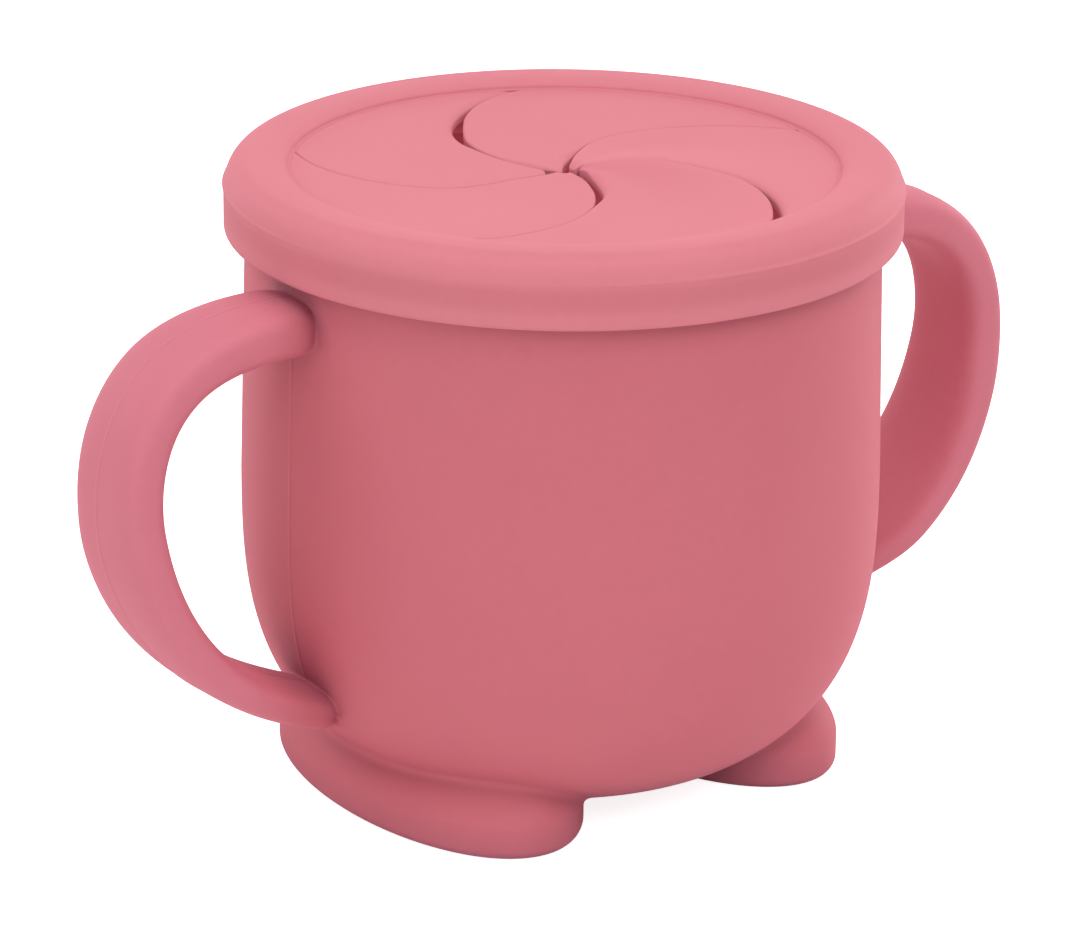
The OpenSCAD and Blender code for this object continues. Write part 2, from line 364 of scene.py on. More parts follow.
def arm_light_mask(tree, place):
    """1 far from the axis, where only the handles reach."""
    flat = add_node(tree, "ShaderNodeVectorMath", -900, 550, operation="MULTIPLY")
    feed(tree, flat.inputs[0], place)
    feed(tree, flat.inputs[1], (1, 1, 0))
    reach = add_node(tree, "ShaderNodeVectorMath", -700, 550, operation="LENGTH")
    feed(tree, reach.inputs[0], flat.outputs[0])
    return between(tree, reach.outputs["Value"], ARM_LIGHT_FROM, ARM_LIGHT_TO, -500, 550)


def side_shade_mask(tree, place):
    """1 in a band of heights round the lid's thickest part, where painted shade goes."""
    split = add_node(tree, "ShaderNodeSeparateXYZ", -900, 800)
    feed(tree, split.inputs[0], place)
    low = between(tree, split.outputs["Z"], SIDE_SHADE_FROM, SIDE_SHADE_FULL, -700, 800)
    high = between(tree, split.outputs["Z"], SIDE_SHADE_TO, SIDE_SHADE_UNTIL, -700, 1050)
    return math(tree, "MULTIPLY", low, high, -500, 800)


def silicone_group():
    """Soft clouding, fine mottling and rare pale specks of dust on a moulded silicone skin.

    Color mixes Deep and Pale by two sizes of noise. It is multiplied by a paler tone on the arms,
    which stand clear of the cup: painted light, for light that comes through them and falls on
    them.
    It is multiplied by a darker tone in a band round the lid's thickest part: painted shade. Then
    it gets the specks. Roughness follows the same noise. Height is the finest noise, for a Bump
    node.
    """
    tree = bpy.data.node_groups.new("silicone skin", "ShaderNodeTree")
    sockets = [("INPUT", "Color", name) for name in ("Deep", "Pale", "Dust", "Thin", "Thick")]
    sockets += [("INPUT", "Float", "Rough"), ("OUTPUT", "Color", "Color"),
                ("OUTPUT", "Float", "Roughness"), ("OUTPUT", "Float", "Height")]
    for side, kind, name in sockets:
        tree.interface.new_socket(name=name, in_out=side, socket_type=f"NodeSocket{kind}")
    given = add_node(tree, "NodeGroupInput", -1200, 0).outputs
    result = add_node(tree, "NodeGroupOutput", 900, 0).inputs
    place = add_node(tree, "ShaderNodeTexCoord", -1200, -300).outputs["Object"]
    clouds = noise(tree, place, CLOUD_SCALE, 2.0, -900, 300)
    mottle = noise(tree, place, MOTTLE_SCALE, 3.0, -900, 50)
    grain = noise(tree, place, GRAIN_SCALE, 2.0, -900, -200)

    share = weighed(tree, clouds, CLOUD_SHARE, mottle, MOTTLE_SHARE, -650, 300)
    colour = mixed(tree, share, given["Deep"], given["Pale"], -200, 200)
    # Painted light: the arms are made paler
    colour = toned(tree, colour, given["Thin"], arm_light_mask(tree, place), -250, 350)
    # Painted shade: a darker band round the lid's side
    colour = toned(tree, colour, given["Thick"], side_shade_mask(tree, place), 0, 600)
    colour = mixed(tree, dust_mask(tree, place), colour, given["Dust"], 200, 100)
    feed(tree, result["Color"], colour)

    uneven = math(tree, "SUBTRACT", mottle, 0.5, -450, -50)
    uneven = math(tree, "MULTIPLY", uneven, ROUGH_SPREAD, -250, -50)
    feed(tree, result["Roughness"], math(tree, "ADD", given["Rough"], uneven, 0, -50, clamp=True))
    height = weighed(tree, grain, GRAIN_HEIGHT, mottle, MOTTLE_HEIGHT, -450, -250)
    feed(tree, result["Height"], height)
    return tree


SKIN = silicone_group()


def silicone(name, rough, **tones):
    """A silicone finish: the shared skin, a Bump node and a Principled BSDF of its own.

    Tones are the skin's colours Deep and Pale, a paler tone on the arms that is painted light, and
    a darker tone round the lid's side that is painted shade. Creases get painted shade as well.
    """
    material = bpy.data.materials.new(name)
    material.use_nodes = True
    tree = material.node_tree
    tree.nodes.clear()
    skin = add_node(tree, "ShaderNodeGroup", -500, 0, node_tree=SKIN)
    skin.inputs["Rough"].default_value = rough
    for socket, tone in {"Dust": DUST_TONE, **tones}.items():
        skin.inputs[socket].default_value = (*tone, 1)
    # Painted shade: ambient occlusion darkens the colour in creases and between parts
    crease_shade = add_node(tree, "ShaderNodeAmbientOcclusion", -500, 350, samples=CREASE_SAMPLES,
                      Distance=CREASE_REACH)
    open_share = between(tree, crease_shade.outputs["AO"], CREASE_SHUT, CREASE_OPEN, -300, 350, "LINEAR")
    tone = mixed(tree, open_share, PAINTED_CREASE_SHADE, WHITE, -100, 550)
    colour = mixed(tree, 1.0, skin.outputs["Color"], tone, -100, 350, "MULTIPLY")
    bump = add_node(tree, "ShaderNodeBump", -250, -200, Strength=GRAIN_STRENGTH,
                    Distance=GRAIN_DEPTH)
    feed(tree, bump.inputs["Height"], skin.outputs["Height"])
    shader = add_node(tree, "ShaderNodeBsdfPrincipled", 0, 0)
    for socket, value in (("Base Color", colour), ("Roughness", skin.outputs["Roughness"]),
                          ("Normal", bump.outputs["Normal"]), ("Specular IOR Level", SPECULAR),
                          ("Sheen Weight", SHEEN), ("Sheen Roughness", SHEEN_ROUGH),
                          ("Sheen Tint", SHEEN_TINT)):
        feed(tree, shader.inputs[socket], value)
    out = add_node(tree, "ShaderNodeOutputMaterial", 300, 0)
    feed(tree, out.inputs["Surface"], shader.outputs["BSDF"])
    return material


EVEN = (1, 1, 1)
# The cup's arms get a paler tone, painted light, and the lid's side a darker one, painted shade
CUP_FINISH = silicone("cup silicone", 0.58, Deep=(0.60, 0.149, 0.185), Pale=(0.66, 0.180, 0.217),
                      Thin=(1.07, 1.2, 1.26), Thick=EVEN)
LID_FINISH = silicone("lid silicone", 0.6, Deep=(0.675, 0.199, 0.24), Pale=(0.74, 0.238, 0.278),
                      Thin=EVEN, Thick=(0.925, 0.865, 0.875))

# Cup

# The parting lines stand out by a height, with a half width, and fade out below and above
SEAM_HEIGHT, SEAM_HALF = 0.09, 0.25
SEAM_LOW, SEAM_LOW_FADE, SEAM_TOP_FADE = 8.0, 4.0, 2.0
CUP_SIDES, CUP_SEAM_SIDES, CUP_SEAM_REACH, SEAM_ROOM = 300, 15, 0.016, 1.1
POLE_R, EDGE_GAP = 3.0, 0.6
# The first points of the dense profile lie on the flat base, and the rest on the wall
BASE_POINTS, BASE_FROM_R = 60, 2.0
POINTS_AT_ONCE = 4000


def bottom_curve(inset, flat):
    """The rounded bottom, up to the widest level: r = R cos^(2/p) a, z = h - d sin^(2/p) a."""
    depth = BELLY_HEIGHT - BOTTOM_CLOSE - inset
    last = np.arcsin(((BELLY_HEIGHT - flat) / depth) ** (BOTTOM_POWER / 2))
    a = np.linspace(last, 0, 900)
    r = (BELLY_R - inset) * np.cos(a) ** (2 / BOTTOM_POWER)
    z = BELLY_HEIGHT - depth * np.sin(a) ** (2 / BOTTOM_POWER)
    return np.stack([r, z], 1)


OUTER_BOTTOM = bottom_curve(0, BASE_LIFT)
INNER_BOTTOM = bottom_curve(WALL, BASE_LIFT + FLOOR_WALL)
# Dense (r, z) points of the cup's outside, from near the middle of its flat base to its rim
OUTSIDE = path(line([BASE_FROM_R, BASE_LIFT], [OUTER_BOTTOM[0, 0], BASE_LIFT], BASE_POINTS)[:-1],
               even(OUTER_BOTTOM, 500), line([BELLY_R, BELLY_HEIGHT], [RIM_R, RIM_HEIGHT], 300))


def onto_cup(points):
    """The nearest points of the cup's outside, its outward normals there and the distances.

    Works in (r, z): the nearest spot on the two segments beside the nearest profile point. The
    distance is negative inside the cup.
    """
    shape = points.shape
    p = points.reshape(-1, 3)
    r = np.hypot(p[:, 0], p[:, 1])
    flat = np.stack([r, p[:, 2]], 1)
    nearest = np.array([], int)
    for part in np.array_split(flat, max(1, len(flat) // POINTS_AT_ONCE)):
        gaps = ((part[:, None] - OUTSIDE[None]) ** 2).sum(-1)
        nearest = np.append(nearest, gaps.argmin(1))
    best = np.full(len(p), np.inf)
    spot, normal = np.zeros_like(flat), np.zeros_like(flat)
    for shift in (-1, 0):
        i = np.clip(nearest + shift, 0, len(OUTSIDE) - 2)
        a, b = OUTSIDE[i], OUTSIDE[i + 1]
        d = b - a
        t = np.clip(((flat - a) * d).sum(1) / (d * d).sum(1), 0, 1)[:, None]
        q = a + t * d
        gap = np.linalg.norm(flat - q, axis=1)
        closer = gap < best
        best = np.where(closer, gap, best)
        spot[closer] = q[closer]
        normal[closer] = unit(np.stack([d[:, 1], -d[:, 0]], 1))[closer]
    sign = np.sign(((flat - spot) * normal).sum(1))
    safe = np.maximum(r, TINY)
    cs, sn = p[:, 0] / safe, p[:, 1] / safe
    place = np.stack([spot[:, 0] * cs, spot[:, 0] * sn, spot[:, 1]], 1)
    out = np.stack([normal[:, 0] * cs, normal[:, 0] * sn, normal[:, 1]], 1)
    return place.reshape(shape), out.reshape(shape), (best * sign).reshape(shape[:-1])


def outside_by(points):
    """How far points stand outside the cup, by the larger of r - R(z) and base - z."""
    r = np.hypot(points[..., 0], points[..., 1])
    wall = OUTSIDE[BASE_POINTS:]
    return np.maximum(r - np.interp(points[..., 2], wall[:, 1], wall[:, 0]),
                      BASE_LIFT - points[..., 2])


def ring_angles(count, seam_steps, reach):
    """Angles round the axis, with extra ones within reach of the parting lines at 0 and 180."""
    beside = np.concatenate([np.linspace(-1, 1, seam_steps) * reach + a for a in (0, np.pi)])
    spread = np.linspace(0, 2 * np.pi, count, endpoint=False)
    clear = np.abs(np.sin(spread)) > reach * SEAM_ROOM
    return np.sort(np.concatenate([spread[clear], beside % (2 * np.pi)]))


def make_bowl():
    """The cup turned about Z: outside, rim, inside.

    Along the parting lines at y = 0 its outside stands out by h exp(-(y/w)^2).
    """
    floor = BASE_LIFT + FLOOR_WALL
    inner_r = RIM_R - WALL
    top = RIM_HEIGHT - RIM_ROUND
    outside = path(line([POLE_R, BASE_LIFT], [OUTER_BOTTOM[0, 0] - EDGE_GAP, BASE_LIFT], 10),
                   even(OUTER_BOTTOM, 90)[1:],
                   line([BELLY_R, BELLY_HEIGHT], [RIM_R, top], 30),
                   arc([RIM_R - RIM_ROUND, top], RIM_ROUND, RIM_ROUND, 0, 90, 10))
    inside = path(arc([inner_r + RIM_ROUND, top], RIM_ROUND, RIM_ROUND, 90, 180, 10),
                  line([inner_r, top], [BELLY_R - WALL, BELLY_HEIGHT], 20),
                  even(INNER_BOTTOM, 60)[::-1],
                  line([INNER_BOTTOM[0, 0] - EDGE_GAP, floor], [POLE_R, floor], 10))
    rings = turned(path(outside, inside), ring_angles(CUP_SIDES, CUP_SEAM_SIDES, CUP_SEAM_REACH))
    z = rings[..., 2]
    raised = SEAM_HEIGHT * np.exp(-(rings[..., 1] / SEAM_HALF) ** 2)
    raised[len(outside):] = 0
    raised *= ease((z - SEAM_LOW) / SEAM_LOW_FADE)
    raised *= ease((RIM_HEIGHT - SEAM_TOP_FADE - z) / SEAM_TOP_FADE)
    scale = 1 + raised / np.maximum(np.hypot(rings[..., 0], rings[..., 1]), 1)
    rings[..., :2] *= scale[..., None]
    return make_piece("soft_bowl", rings, start=[0, 0, BASE_LIFT], end=[0, 0, floor])


dress(make_bowl(), CUP_FINISH, "cup", "cup_shell")

# Fillets where handles and feet grow out of the cup

# Past its landing on the cup a fillet runs on a little, then dives below the surface in rings at
# shares of its width, each with its depth
FILLET_STEPS = 9
RUN_ON, RUN_ON_DEPTH = 0.25, 0.06
SINK = 1.2
DIVE = ((0.96, 0.7), (0.7, SINK), (0.35, SINK))
# Rows at which a piece is followed to find where it meets the cup
DENSE = 420


def first_inside(distance):
    """For each column, the place where its distances first turn negative, in fractional rows."""
    inside = distance < 0
    k = np.maximum(inside.argmax(0), 1)
    a = np.take_along_axis(distance, (k - 1)[None], 0)[0]
    b = np.take_along_axis(distance, k[None], 0)[0]
    return k - 1 + a / np.maximum(a - b, TINY)


def at_rows(values, rows):
    """Values of a grid at fractional rows, one for each column."""
    low = np.clip(rows.astype(int), 0, len(values) - 2)
    t = rows - low
    columns = np.arange(values.shape[1])
    return values[low, columns] * (1 - t) + values[low + 1, columns] * t


def back_along(curves, hit, size):
    """The fractional row that lies a length of size before the hit, on each column."""
    steps = np.linalg.norm(np.diff(curves, axis=0), axis=-1)
    length = np.concatenate([np.zeros((1, curves.shape[1])), np.cumsum(steps, 0)])
    want = at_rows(length, hit) - size
    k = np.clip((length < want).sum(0), 1, len(length) - 1)
    a = np.take_along_axis(length, (k - 1)[None], 0)[0]
    b = np.take_along_axis(length, k[None], 0)[0]
    return k - 1 + np.clip((want - a) / np.maximum(b - a, TINY), 0, 1)


def fillet(start, corner, outward, size):
    """Rings from start to the cup's surface, rounding the inner corner, and the pole below them.

    Each column bends from its start on the piece, by the corner where the piece meets the cup, to
    its landing on the cup, a length of size away from the piece.
    """
    spot, normal, _ = onto_cup(corner)
    away = unit(outward - (outward * normal).sum(-1, keepdims=True) * normal)
    landing, out, _ = onto_cup(spot + away * size[:, None])
    t = np.linspace(0, 1, FILLET_STEPS)[:, None, None]
    middle = landing.mean(0)
    dive = [landing + away * RUN_ON - out * RUN_ON_DEPTH]
    for share, depth in DIVE:
        place, out, _ = onto_cup(middle + (landing - middle) * share)
        dive.append(place - out * depth)
    place, out, _ = onto_cup(middle[None])
    return np.concatenate([bent(start, spot, landing, t), np.stack(dive)]), (place - out * SINK)[0]


# Handles

# Over the last stretch before the cup their ends are rounded off, by so much a side
TOP_FILLET, LOW_FILLET = 1.0, 0.8
END_REACH, END_THINNER, END_NARROWER = 3.2, 0.5, 1.3
TABLE_WINDOW = 0.06
LINE_END, TANGENT_STEP = 0.99999, 0.002
# Shares of the length between which a root is searched for, from the middle of the loop
MIDDLE, TOP_END, LOW_END = 0.5, 0.002, 0.998
LOOP_SIDES, LOOP_SEAM_SIDES, LOOP_SEAM_REACH = 112, 13, 0.07
LOOP_RINGS = 90
# On the inner side of the loop the parting line is fainter, but for a stretch at both ends
INNER_SEAM, INNER_SEAM_REACH, INNER_SEAM_FADE = 0.15, 0.3, 0.1

THICK_CURVE = through(THICK_AT, HANDLE_THICK, TABLE_WINDOW)
WIDE_CURVE = through(WIDE_AT, HANDLE_WIDE, TABLE_WINDOW)


def spline_share(i, k, t):
    """Basis function i, of degree k, of an open, clamped curve, by the two-term recursion."""
    knots = HANDLE_KNOTS
    if k == 0:
        return ((t >= knots[i]) & (t < knots[i + 1])).astype(float)
    left, right = knots[i + k] - knots[i], knots[i + k + 1] - knots[i + 1]
    total = 0 * t
    if left:
        total = total + (t - knots[i]) / left * spline_share(i, k - 1, t)
    if right:
        total = total + (knots[i + k + 1] - t) / right * spline_share(i + 1, k - 1, t)
    return total


def handle_line(u):
    """The handle's centre line in (x, z) at shares u of its length."""
    size = [HANDLE_REACH, HANDLE_TOP - HANDLE_BOTTOM]
    points = np.array([BELLY_R, HANDLE_BOTTOM]) + HANDLE_SHAPE * size
    t = np.clip(u, 0, LINE_END) * HANDLE_KNOTS[-1]
    return sum(spline_share(i, 3, t)[..., None] * p for i, p in enumerate(points))


def handle_surface(u, a):
    """Points and outward directions of the tube, at shares u of its length and angles a round it.

    The section is |c|^n + |s|^n = 1, with c in half thicknesses across and s in half widths along
    Y. With q rising from 0 to 1 as the centre line nears the cup, both halves shrink by a share of
    1 - sqrt(1 - q^2).
    """
    centre = handle_line(u)
    d = handle_line(u + TANGENT_STEP) - handle_line(u - TANGENT_STEP)
    across = unit(np.stack([-d[..., 1], d[..., 0]], -1))
    clear = outside_by(np.stack([centre[..., 0], 0 * centre[..., 0], centre[..., 1]], -1))
    near = 1 - np.sqrt(1 - np.clip(1 - clear / END_REACH, 0, 1) ** 2)
    thick = THICK_CURVE(u) / 2 - END_THINNER * near
    wide = WIDE_CURVE(u) / 2 - END_NARROWER * near
    n = HANDLE_SQUARE
    c, s = squared(a, n)
    ends = ease((np.abs(u - MIDDLE) - INNER_SEAM_REACH) / INNER_SEAM_FADE)
    inner = INNER_SEAM + (1 - INNER_SEAM) * ends
    seam = np.where(c > 0, 1, inner) * SEAM_HEIGHT * np.exp(-(wide * s / SEAM_HALF) ** 2)
    out = (thick + seam) * c
    point = np.stack([centre[..., 0] + across[..., 0] * out, wide * s,
                      centre[..., 1] + across[..., 1] * out], -1)
    lean = np.sign(c) * np.abs(c) ** (n - 1) / thick
    normal = unit(np.stack([across[..., 0] * lean, np.sign(s) * np.abs(s) ** (n - 1) / wide,
                            across[..., 1] * lean], -1))
    return point, normal


def make_handle(name, side):
    """The loop between its roots, with a fillet onto the cup at each. side mirrors it in X."""
    a = ring_angles(LOOP_SIDES, LOOP_SEAM_SIDES, LOOP_SEAM_REACH)[None, :]
    roots = []
    for end, radius in ((TOP_END, TOP_FILLET), (LOW_END, LOW_FILLET)):
        u = np.linspace(MIDDLE, end, DENSE)[:, None] + 0 * a
        curves, _ = handle_surface(u, a + 0 * u)
        hit = first_inside(outside_by(curves))
        size = np.full(a.shape[1], radius)
        roots.append((at_rows(u, back_along(curves, hit, size)), at_rows(u, hit), size))
    (u_top, hit_top, size_top), (u_low, hit_low, size_low) = roots
    share = np.linspace(0, 1, LOOP_RINGS)[:, None]
    loop, _ = handle_surface(u_top + (u_low - u_top) * share, a + 0 * share)
    top_rings, top_pole = fillet(loop[0], *handle_surface(hit_top, a[0]), size_top)
    low_rings, low_pole = fillet(loop[-1], *handle_surface(hit_low, a[0]), size_low)
    rings = np.concatenate([top_rings[::-1], loop[1:-1], low_rings])
    flip = np.array([side, 1, 1])
    return make_piece(name, rings * flip, start=top_pole * flip, end=low_pole * flip)


dress(make_handle("left_loop", -1), CUP_FINISH, "cup", "left_handle")
dress(make_handle("right_loop", 1), CUP_FINISH, "cup", "right_handle")

# Feet

# A foot's fillet takes no more than a share of the side that it leaves
FOOT_SIDES, FOOT_RINGS = 144, 22
FOOT_FILLET, FOOT_FILLET_SHARE = 1.4, 0.4
SOLE_RINGS = (0.3, 0.6, 0.85, 0.97)


def foot_surface(z, a):
    """An oval at each height, drawn in by a round at the bottom and by c (z - h)^2 above h."""
    low = FOOT_ROUND - np.sqrt(np.maximum(0, 2 * FOOT_ROUND * z - z * z))
    high = FOOT_TAPER * np.maximum(0, z - FOOT_UPRIGHT) ** 2
    inset = np.where(z < FOOT_ROUND, low, high)
    wide, long = FOOT_WIDTH / 2 - inset, FOOT_LENGTH / 2 - inset
    turn = np.radians(FOOT_TURN)

    def turned_by(x, y):
        return x * np.cos(turn) - y * np.sin(turn), x * np.sin(turn) + y * np.cos(turn)

    x, y = turned_by(wide * np.cos(a), long * np.sin(a))
    nx, ny = turned_by(np.cos(a) / wide, np.sin(a) / long)
    point = np.stack([FOOT_SPREAD + x, FOOT_SHIFT + y, z], -1)
    return point, unit(np.stack([nx, ny, 0 * z], -1))


def make_foot(name, side):
    """A long oval foot: flat below, rounded edge, upright side, then a fillet up to the cup."""
    a = np.linspace(0, 2 * np.pi, FOOT_SIDES, endpoint=False)[None, :]
    top = FOOT_UPRIGHT + np.sqrt((FOOT_WIDTH / 2 - FOOT_TIP) / FOOT_TAPER)
    z = np.linspace(FOOT_ROUND, top, DENSE)[:, None] + 0 * a
    curves, _ = foot_surface(z, a + 0 * z)
    hit = first_inside(outside_by(curves))
    z_hit = at_rows(z, hit)
    size = np.minimum(FOOT_FILLET, FOOT_FILLET_SHARE * (z_hit - FOOT_ROUND))
    z_start = at_rows(z, back_along(curves, hit, size))
    share = np.linspace(0, 1, FOOT_RINGS)[:, None]
    side_rings, _ = foot_surface(FOOT_ROUND + (z_start - FOOT_ROUND) * share, a + 0 * share)
    low_z = FOOT_ROUND * (1 - np.cos(np.radians(np.linspace(0, 90, 9))))[:-1, None] + 0 * a
    round_rings, _ = foot_surface(low_z, a + 0 * low_z)
    rings, pole = fillet(side_rings[-1], *foot_surface(z_hit, a[0]), size)
    middle = np.array([FOOT_SPREAD, FOOT_SHIFT, 0])
    sole = np.stack([middle + (round_rings[0] - middle) * s for s in SOLE_RINGS])
    rings = np.concatenate([sole, round_rings, side_rings[:-1], rings])
    flip = np.array([side, 1, 1])
    return make_piece(name, rings * flip, start=middle * flip, end=pole * flip)


dress(make_foot("left_oval_foot", -1), CUP_FINISH, "cup", "left_foot")
dress(make_foot("right_oval_foot", 1), CUP_FINISH, "cup", "right_foot")

# Lid

# The flaps' roots lie TUCK below the panel's border, which starts at BORDER_R
BORDER_R = 36.0
TUCK = 0.02
CREST_SQUARE, SHOULDER_SQUARE, SHOULDER_TALL, SHOULDER_WIDE = 2.5, 2.35, 4.8, 3.5
# The corner between the panel and the crest is rounded over HEEL, up to HEEL_TOP
HEEL, HEEL_TOP, HEEL_OUT = 0.3, 0.28, 0.02
MOUTH_ROUND, CHANNEL_BEVEL, BORDER_BEVEL = 0.45, 0.4, 0.1
LID_SIDES = 320
# The parting line on the shoulder: its height above the table, how far it stands out, its half
# widths above and below, and the direction in degrees at which it is strongest
PART_HEIGHT, PART_LINE, PART_ABOVE, PART_BELOW, PART_TURN = 81.6, 0.28, 0.26, 0.18, 59.0


def rim_profile():
    """The (r, z) outline of the lid's rim: crest, shoulder, side, channel, skirt and border.

    The crest's inner slope and its shoulder are squared quarter ovals.
    """
    channel = BELLY_R + LID_CLEARANCE
    channel += (RIM_R - BELLY_R) * (LID_BOTTOM - BELLY_HEIGHT) / (RIM_HEIGHT - BELLY_HEIGHT)
    roof = RIM_HEIGHT + LID_CLEARANCE
    outer_skirt = RIM_R - WALL - LID_CLEARANCE
    inner_skirt = outer_skirt - SKIRT_THICK
    tip_r = SKIRT_THICK / 2
    tip_z = RIM_HEIGHT - SKIRT_DEPTH + tip_r
    under = PANEL_TOP - PANEL_THICK
    side_z = CREST_HEIGHT - SHOULDER_TALL
    crest_r = LID_R - SHOULDER_WIDE
    edge, mouth, bevel = LID_EDGE_ROUND, MOUTH_ROUND, CHANNEL_BEVEL
    crest = arc([crest_r, PANEL_TOP], crest_r - PANEL_R, PANEL_DROP, 180, 90, 60, CREST_SQUARE)
    crest = crest[crest[:, 1] > PANEL_TOP + HEEL_TOP]
    corner = np.array([PANEL_R + HEEL_OUT, PANEL_TOP])
    heel = bent(corner - [HEEL, 0], corner, crest[0], np.linspace(0, 1, 9)[:, None])
    shoulder = arc([crest_r, side_z], SHOULDER_WIDE, SHOULDER_TALL, 90, 0, 400, SHOULDER_SQUARE)
    return path(line([BORDER_R, PANEL_TOP + TUCK / 2], [PANEL_R - HEEL, PANEL_TOP], 3),
                heel, crest, even(shoulder, 74),
                line([LID_R, side_z], [LID_R, LID_BOTTOM + edge], 10),
                arc([LID_R - edge, LID_BOTTOM + edge], edge, edge, 0, -90, 9),
                line([LID_R - edge, LID_BOTTOM], [channel + mouth, LID_BOTTOM], 4),
                arc([channel + mouth, LID_BOTTOM + mouth], mouth, mouth, -90, -180, 6),
                line([channel, LID_BOTTOM + mouth], [channel, roof - bevel], 8),
                line([channel - bevel, roof], [outer_skirt + bevel, roof], 4),
                line([outer_skirt, roof - bevel], [outer_skirt, tip_z], 6),
                arc([outer_skirt - tip_r, tip_z], tip_r, tip_r, 0, -180, 11),
                line([inner_skirt, tip_z], [inner_skirt, under - bevel], 6),
                line([inner_skirt - bevel, under], [BORDER_R + BORDER_BEVEL, under], 3),
                line([BORDER_R, under + BORDER_BEVEL], [BORDER_R, PANEL_TOP - BORDER_BEVEL], 3))


def make_lid_rim():
    """The rim's outline turned about Z, with its parting line.

    The line is a bead of h exp(-(d/w)^2) that fades and comes back twice round the lid.
    """
    profile = rim_profile()
    angles = np.linspace(0, 2 * np.pi, LID_SIDES, endpoint=False)
    above = profile[:, 1] - PART_HEIGHT
    bead = PART_LINE * np.exp(-(above / np.where(above > 0, PART_ABOVE, PART_BELOW)) ** 2)
    bead = np.where(profile[:, 0] > CREST_R, bead, 0) / profile[:, 0]
    uneven = 0.5 + 0.5 * np.cos(2 * (angles + np.radians(PART_TURN)))
    rings = turned(profile, angles)
    rings[..., :2] *= 1 + (bead[:, None] * uneven)[..., None]
    return make_piece("soft_rim", rings, ring_of_rings=True)


dress(make_lid_rim(), LID_FINISH, "lid", "lid_ring")

# Flaps

# Room beside the five slits at some radii: on the outer side of the arc, then on the inner side
SLIT_RADII = [0, 4, 8, 12, 15, 18, 21, 24, 27, 30, 33, 36.5]
SLIT_OUTER = [[-0.4, -1.2, -1.75, -0.9, -0.2, 0.45, 0.33, 0.19, 0.1, 0.08, 0.08, 0.06],
              [1.8, 1.35, 1.05, 1.0, 0.3, 0.03, 0.02, 0.05, 0.02, 0.22, 0.6, 0.7],
              [-0.5, -0.07, 1.38, 0.83, -0.12, -0.57, -0.52, 0.08, 0.65, 0.8, 0.8, 0.9],
              [0.3, 0.15, 0.1, 0.28, 0.31, 0.23, -0.22, -0.62, -0.77, -0.67, -0.33, 0.03],
              [1.2, 0.3, 0.05, 0.05, 0.1, 0.35, 0.7, 0.75, 0.6, 0.3, 0.08, 0.02]]
SLIT_INNER = [[1.0, 1.3, 1.8, 0.95, 0.25, -0.4, -0.28, -0.14, -0.05, -0.03, -0.03, -0.02],
              [-0.5, -0.45, 0.0, 0.13, 0.1, 0.02, 0.05, 0.0, 0.03, -0.17, -0.55, -0.65],
              [0.55, 0.1, -1.35, -0.8, 0.15, 0.6, 0.55, 0.05, -0.05, 0.05, 0.25, 0.15],
              [0.6, 0.65, 0.2, -0.14, -0.19, -0.09, 0.36, 0.76, 0.91, 0.81, 0.45, 0.03],
              [0.0, 0.3, 0.12, 0.02, 0.05, 0.1, 0.6, 0.8, 0.55, 0.3, 0.08, 0.02]]
ROOM_WINDOW = 1.6
OUTER_ROOM = [through(SLIT_RADII, row, ROOM_WINDOW) for row in SLIT_OUTER]
INNER_ROOM = [through(SLIT_RADII, row, ROOM_WINDOW) for row in SLIT_INNER]
# How far each flap's own edge, other edge and tip stand above the dished panel. The edges' lifts
# end at the middle and at LIFT_END_R, and reach past the flap's middle by LIFT_OVERLAP
OWN_LIFT = [0.0, 0.0, 1.4, 0.2, 0.1]
OTHER_LIFT = [0.0, 0.0, 0.15, 1.22, 0.1]
TIP_LIFT = [0.0, 0.0, 0.8, 0.7, -0.05]
LIFT_END_R, LIFT_POWER, LIFT_OVERLAP = 34, 1.3, 0.4
TIP_SPREAD = 9.0
# Where each flap's tip starts, and the radius of its end
TIP_R = [2.6, 0.7, 2.0, 1.2, 0.6]
TIP_ROUND = [0.9, 1.1, 1.0, 1.7, 1.3]
TIP_HALF = 0.02
# The width and depth over which edges roll down, up to the radius NEAR_R and then from
# ROLL_CHANGE beyond it. A roll takes at most ROLL_LIMIT of the flap's half width
OWN_NEAR = np.array([[0.4, 0.25], [0.3, 0.2], [0.3, 0.1], [0.9, 0.7], [1.4, 0.8]])
OWN_FAR = np.array([[0.35, 0.2], [0.35, 0.2], [0.4, 0.3], [0.4, 0.25], [0.4, 0.3]])
OTHER_NEAR = np.array([[0.4, 0.2], [0.4, 0.2], [1.5, 0.8], [0.3, 0.05], [1.8, 0.9]])
OTHER_FAR = np.array([[1.3, 0.7], [0.4, 0.2], [0.5, 0.25], [1.3, 0.8], [0.5, 0.25]])
NEAR_R, ROLL_CHANGE = [13, 14, 12, 8, 5], 6
ROLL_LIMIT = 0.45
# The length and depth over which each tip rolls down
NOSE = [(0.5, 0.15), (0.6, 0.2), (2.0, 0.8), (2.6, 0.9), (1.5, 0.5)]
SAG = 0.9
UNDER_ROUND = 0.3
ROOT_R, ROOT_HOLD = 36.35, 3
FLAP_RINGS, TIP_RINGS, EDGE_STEPS, TOP_STEPS, UNDER_STEPS = 96, 14, 9, 27, 13


def slit_angle(k, r):
    """Direction of slit k at radius r: an arc through the middle, acos(r / 2R) from its centre."""
    return np.radians(SLIT_TURN + FLAP_STEP * k) + np.arccos(r / (2 * SLIT_ARC_R))


def roll(k, r, near, far, slant, limit):
    """Width along the ring and depth of a flap's roll at radii r.

    They go from the values near the tip to those far out, and shrink alike where the flap is too
    narrow for them.
    """
    share = ease((r - NEAR_R[k]) / ROLL_CHANGE)[:, None]
    both = near[k] + (far[k] - near[k]) * share
    return within(both[:, :1] * slant, both[:, 1:], limit)


def within(wide, deep, limit):
    """A width and a depth, both shrunk by what keeps the width within the limit."""
    kept = np.minimum(wide, limit)
    return kept, deep * kept / wide


